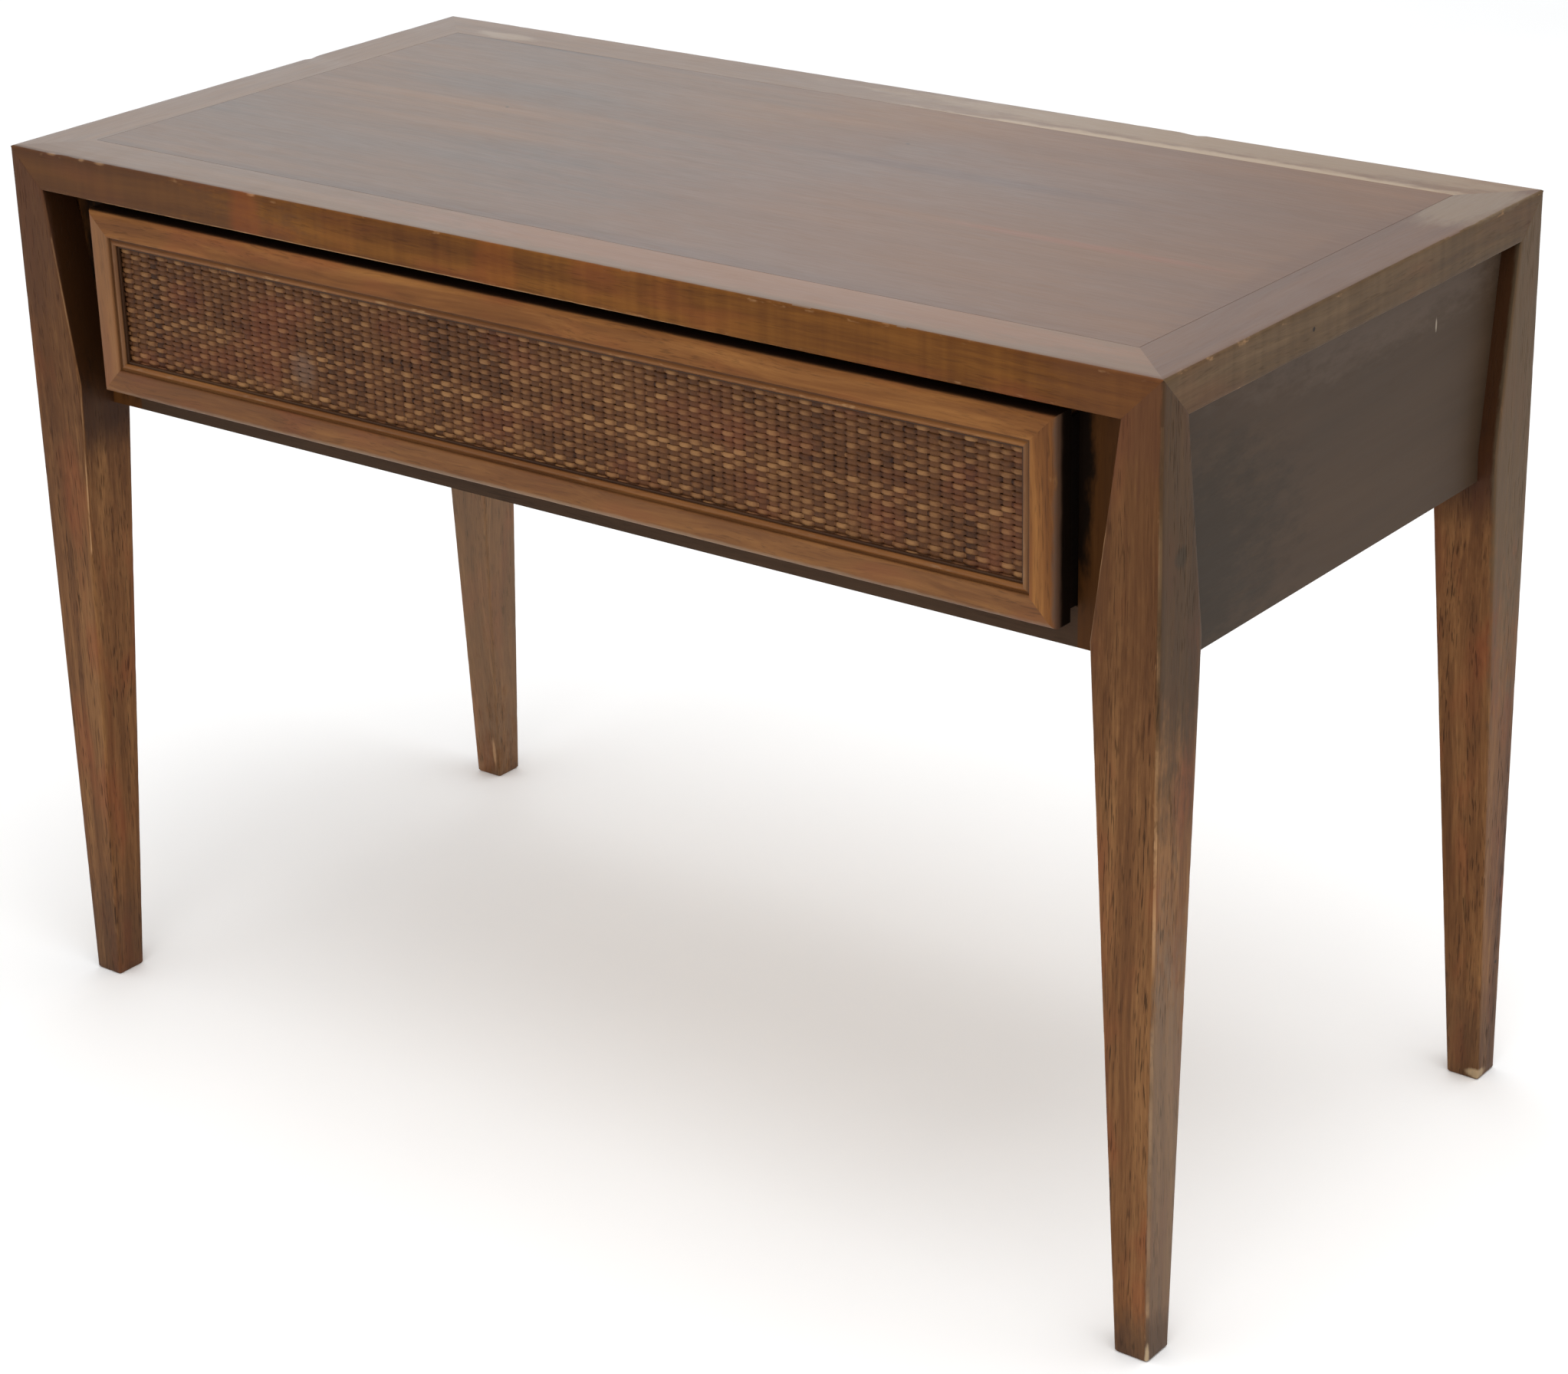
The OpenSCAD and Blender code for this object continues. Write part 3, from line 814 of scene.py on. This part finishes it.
def cane_material():
    g = Graph("stained_cane")
    place = g.add("ShaderNodeTexCoord").outputs["Object"]
    tone = g.add("ShaderNodeAttribute", {"attribute_name": "tone"}).outputs["Fac"]
    fine = g.noise(g.scaled(place, (420, 420, 900)), 3.0, 0.6)
    patch = g.noise(g.scaled(place, (9, 9, 14)), 2.0)
    value = g.math("ADD", 0.5, tone)
    value = g.math("ADD", value, g.around_zero(fine, 0.3))
    value = g.math("ADD", value, g.around_zero(patch, 0.35))
    colour = g.colours(value, [(0.10, CANE[0]), (0.45, CANE[1]), (0.80, CANE[2])])
    red = g.ramp(g.noise(g.scaled(g.shifted(place, (3, 1, 2)), (22, 22, 30)), 2.0), 0.5, 0.75, 0.0, 0.3)
    colour = g.mix(red, colour, rgba(srgb(112, 56, 38)))
    dull = g.shifted(place, [-c for c in DULL_SPOT])
    reach = g.add("ShaderNodeVectorMath", {"operation": "LENGTH"},
                  i0=g.scaled(dull, (1 / 0.012, 20, 1 / 0.014))).outputs["Value"]
    colour = g.mix(g.ramp(reach, 1.1, 0.3, 0.0, 0.35), colour, rgba(srgb(112, 96, 84)))
    rough = g.math("ADD", 0.45, g.math("MULTIPLY", fine, 0.2))
    normal = g.add("ShaderNodeBump", {}, Strength=0.4, Distance=0.15 * MM, Height=fine).outputs[0]
    return g.surface(Base_Color=colour, Roughness=rough, Normal=normal, Specular_IOR_Level=0.18, IOR=1.5)


cane_points, cane_faces, cane_tones = weave()
finish_mesh("cane_weave", cane_points, cane_faces, "cane_panel", cane_material(), tone=cane_tones,
            smooth_deg=60)


# ---------------------------------------------------------------- kept CAD shapes

def steel():
    g = Graph("zinc_steel")
    place = g.add("ShaderNodeTexCoord").outputs["Object"]
    cloud = g.noise(g.scaled(place, (300, 300, 300)), 3.0)
    colour = g.colours(cloud, [(0.3, srgb(150, 150, 148)), (0.7, srgb(186, 186, 182))])
    rough = g.ramp(cloud, 0.2, 0.8, 0.25, 0.45)
    normal = g.add("ShaderNodeBump", {}, Strength=0.15, Distance=0.1 * MM, Height=cloud).outputs[0]
    return g.surface(Base_Color=colour, Metallic=1.0, Roughness=rough, Normal=normal)


def keep(node, material, bevel=0.5 * MM):
    """Gives a CAD node its material and fine bevels."""
    piece = nodes[node]
    piece.data.materials.clear()
    piece.data.materials.append(material)
    edges = piece.modifiers.new("arrises", "BEVEL")
    edges.width = bevel
    edges.segments = 2
    edges.limit_method = "ANGLE"
    edges.angle_limit = math.radians(50)
    edges.harden_normals = True


FIELD_MARKS = [
    ((0.0, field_low.y, table_h), (0.40, 0.016, 0.01), srgb(60, 40, 30), 0.40),
    ((field_high.x, 0.0, table_h), (0.020, 0.18, 0.01), srgb(56, 34, 24), 0.45),
    # The right part of the field is redder: a painted fall-off of the top's reflection
    ((0.38, 0.0, table_h), (0.60, 0.55, 0.01), srgb(96, 60, 36), 0.42),
    ((-0.28, field_high.y, table_h), (0.09, 0.0025, 0.01), srgb(40, 26, 20), 0.7),
    ((0.13, 0.05, table_h), (0.16, 0.010, 0.01), srgb(60, 32, 22), 0.4),
    ((0.25, -0.03, table_h), (0.11, 0.006, 0.01), srgb(112, 62, 40), 0.4),
    ((0.05, 0.09, table_h), (0.002, 0.0015, 0.01), SOOT, 0.9),
    ((-0.21, 0.03, table_h), (0.0015, 0.0015, 0.01), SOOT, 0.9),
]
keep("top_veneer",
     wood("walnut_field", "x", *FIELD, seed=1.0, figure=0.5, rings=0.25, ring_pitch=10 * MM, pores=0.06,
          fibre=0.36, mottle=0.85, clouds=(4, 10, 10), rough=0.42, specular=0.5, bump=0.10,
          marks=FIELD_MARKS),
     JOINT_R)

# A small pale scratch on the right side of the case, painted shade near the front right leg, and painted
# light along its top
RIGHT_SIDE_MARKS = [
    ((half_w, 0.10, 0.50), (0.03, 0.0012, 0.006), srgb(170, 156, 138), 0.7),
    ((half_w, -0.17, 0.44), (0.03, 0.16, 0.10), srgb(40, 34, 26), 0.60),
    ((half_w, 0.05, 0.53), (0.03, 0.25, 0.04), srgb(94, 78, 66), 0.50),
]
CASE_GRAIN = {"case_side_left": "y", "case_side_right": "y", "case_back": "x"}
for index, (node, grain) in enumerate(CASE_GRAIN.items()):
    keep(node, wood("walnut_" + node, grain, *CASE, seed=61 + index, figure=0.35, rings=0.15, pores=0.03,
                    mottle=0.4, rough=0.5, specular=0.1, bump=0.12,
                    marks=RIGHT_SIDE_MARKS if node == "case_side_right" else ()))

# Painted shade darkens the stiles beside the opening, and the bottom rail is plain
STILE_SHADE = {
    "case_stile_left": [((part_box("case_stile_left")[1].x, -0.18, 0.50), (0.060, 0.05, 0.12), PAINTED_SHADE, 0.95)],
    "case_stile_right": [((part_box("case_stile_right")[0].x, -0.18, 0.50), (0.013, 0.05, 0.10),
                          PAINTED_SHADE, 0.95)],
}
for index, node in enumerate(("case_stile_left", "case_stile_right", "case_bottom_rail")):
    level = node == "case_bottom_rail"
    keep(node, wood("walnut_" + node, "x" if level else "z", *(LOW_RAIL if level else STILE),
                    seed=65 + index, figure=0.6, rings=0.3, pores=0.2, mottle=0.3, rough=0.55,
                    specular=0.08, bump=0.2, marks=STILE_SHADE.get(node, [])))

# Painted shade from the gap behind the drawer front runs on to the outside of the box and fades there
GAP_SHADE_TONE = srgb(20, 12, 7)
GAP_SHADE_REACH = 0.062     # from the face of the drawer front
SIDE_GAP_SHADE = ((0.005, GAP_SHADE_REACH, WHOLE), GAP_SHADE_TONE, 1.0, 0.15)
GAP_SHADE = {
    "drawer_inner_front": [((0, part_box("drawer_inner_front")[0].y, DRAWER_Z), (WHOLE, 0.011, WHOLE),
                            GAP_SHADE_TONE, 1.0, 0.1)],
    "drawer_side_left": [((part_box("drawer_side_left")[0].x, front_y, DRAWER_Z), *SIDE_GAP_SHADE)],
    "drawer_side_right": [((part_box("drawer_side_right")[1].x, front_y, DRAWER_Z), *SIDE_GAP_SHADE)],
}
MAPLE_GRAIN = {"top_core": "x", "drawer_runner_left": "y", "drawer_runner_right": "y",
               "drawer_guide_left": "y", "drawer_guide_right": "y", "drawer_kicker_left": "y",
               "drawer_kicker_right": "y", "drawer_stops": "x", "drawer_inner_front": "x",
               "drawer_back": "x", "drawer_side_left": "y", "drawer_side_right": "y",
               "drawer_bottom": "x"}
for index, (node, grain) in enumerate(MAPLE_GRAIN.items()):
    keep(node, wood("maple_" + node, grain, *MAPLE, seed=80 + 1.3 * index, figure=0.5, rings=0.35,
                    ring_pitch=8 * MM, pores=0.15, fibre=0.4, mottle=0.3, rough=0.55, specular=0.3,
                    bump=0.15, marks=GAP_SHADE.get(node, [])))
keep("cane_backing", wood("stained_backing", "x", *BACKING, seed=95, rough=0.6, specular=0.2))
metal = steel()
for node in ("top_screws", "guide_screws", "front_screws"):
    keep(node, metal, 0.2 * MM)


# ---------------------------------------------------------------- floor, light, camera

def floor():
    mesh = bpy.data.meshes.new("floor")
    reach = 12
    mesh.from_pydata([(-reach, -reach, 0), (reach, -reach, 0), (reach, reach, 0), (-reach, reach, 0)],
                     [], [(0, 1, 2, 3)])
    g = Graph("pale_floor")
    place = g.add("ShaderNodeTexCoord").outputs["Object"]
    cloud = g.noise(g.scaled(place, (3, 3, 3)), 3.0)
    colour = g.colours(cloud, [(0.3, (0.93, 0.93, 0.93)), (0.7, (0.95, 0.95, 0.95))])
    mesh.materials.append(g.surface(Base_Color=colour, Roughness=0.9, Specular_IOR_Level=0.1))
    ground = bpy.data.objects.new("floor", mesh)
    bpy.context.scene.collection.objects.link(ground)


def area_light(name, place, target, size, power, colour):
    data = bpy.data.lights.new(name, "AREA")
    data.shape = "DISK"
    data.size = size
    data.energy = power
    data.color = colour
    lamp = bpy.data.objects.new(name, data)
    lamp.location = place
    lamp.visible_camera = False
    lamp.rotation_mode = "QUATERNION"
    lamp.rotation_quaternion = (Vector(target) - Vector(place)).to_track_quat("-Z", "Y")
    bpy.context.scene.collection.objects.link(lamp)


def sky(strength):
    world = bpy.data.worlds.new("studio")
    world.use_nodes = True
    background = world.node_tree.nodes["Background"]
    background.inputs["Color"].default_value = (1, 1, 1, 1)
    background.inputs["Strength"].default_value = strength
    bpy.context.scene.world = world


def camera(place, azimuth, elevation, roll, lens):
    """A camera turned by azimuth and elevation in degrees, then rolled about its own axis."""
    a, e, t = (math.radians(d) for d in (azimuth, elevation, roll))
    forward = Vector((-math.sin(a) * math.cos(e), math.cos(a) * math.cos(e), -math.sin(e)))
    right = forward.cross(Vector((0, 0, 1))).normalized()
    up = right.cross(forward)
    rolled_right = math.cos(t) * right + math.sin(t) * up
    rolled_up = math.cos(t) * up - math.sin(t) * right
    turn = Matrix((rolled_right, rolled_up, -forward)).transposed().to_4x4()
    data = bpy.data.cameras.new("camera")
    data.sensor_width = 36
    data.lens = lens
    view = bpy.data.objects.new("camera", data)
    view.matrix_world = Matrix.Translation(place) @ turn
    bpy.context.scene.collection.objects.link(view)
    bpy.context.scene.camera = view


SKY_STRENGTH = 0.85
COOL = (0.86, 0.95, 1.0)
# Each lamp's name, place, target, size in metres, power in watts and colour
LAMPS = (
    ("overhead", (0.5, -0.2, 3.0), (0, 0, 0.4), 2.6, 45, (1, 1, 1)),
    ("back_left", (-3.0, 3.0, 1.7), (0, 0, 0.5), 2.8, 15, COOL),
    ("front", (1.2, -3.0, 2.2), (0, 0, 0.35), 2.0, 15, (1, 1, 1)),
)
# The camera stands in front of the table on its right and looks down at it
CAMERA_PLACE = (1.3017, -1.6560, 1.1261)
CAMERA_AZIMUTH = 37.801
CAMERA_ELEVATION = 23.131
CAMERA_ROLL = -1.481
CAMERA_LENS = 85.89

# The standard view keeps the wood's colours as saturated as they are given
bpy.context.scene.view_settings.view_transform = "Standard"
floor()
sky(SKY_STRENGTH)
for lamp in LAMPS:
    area_light(*lamp)
camera(CAMERA_PLACE, CAMERA_AZIMUTH, CAMERA_ELEVATION, CAMERA_ROLL, CAMERA_LENS)
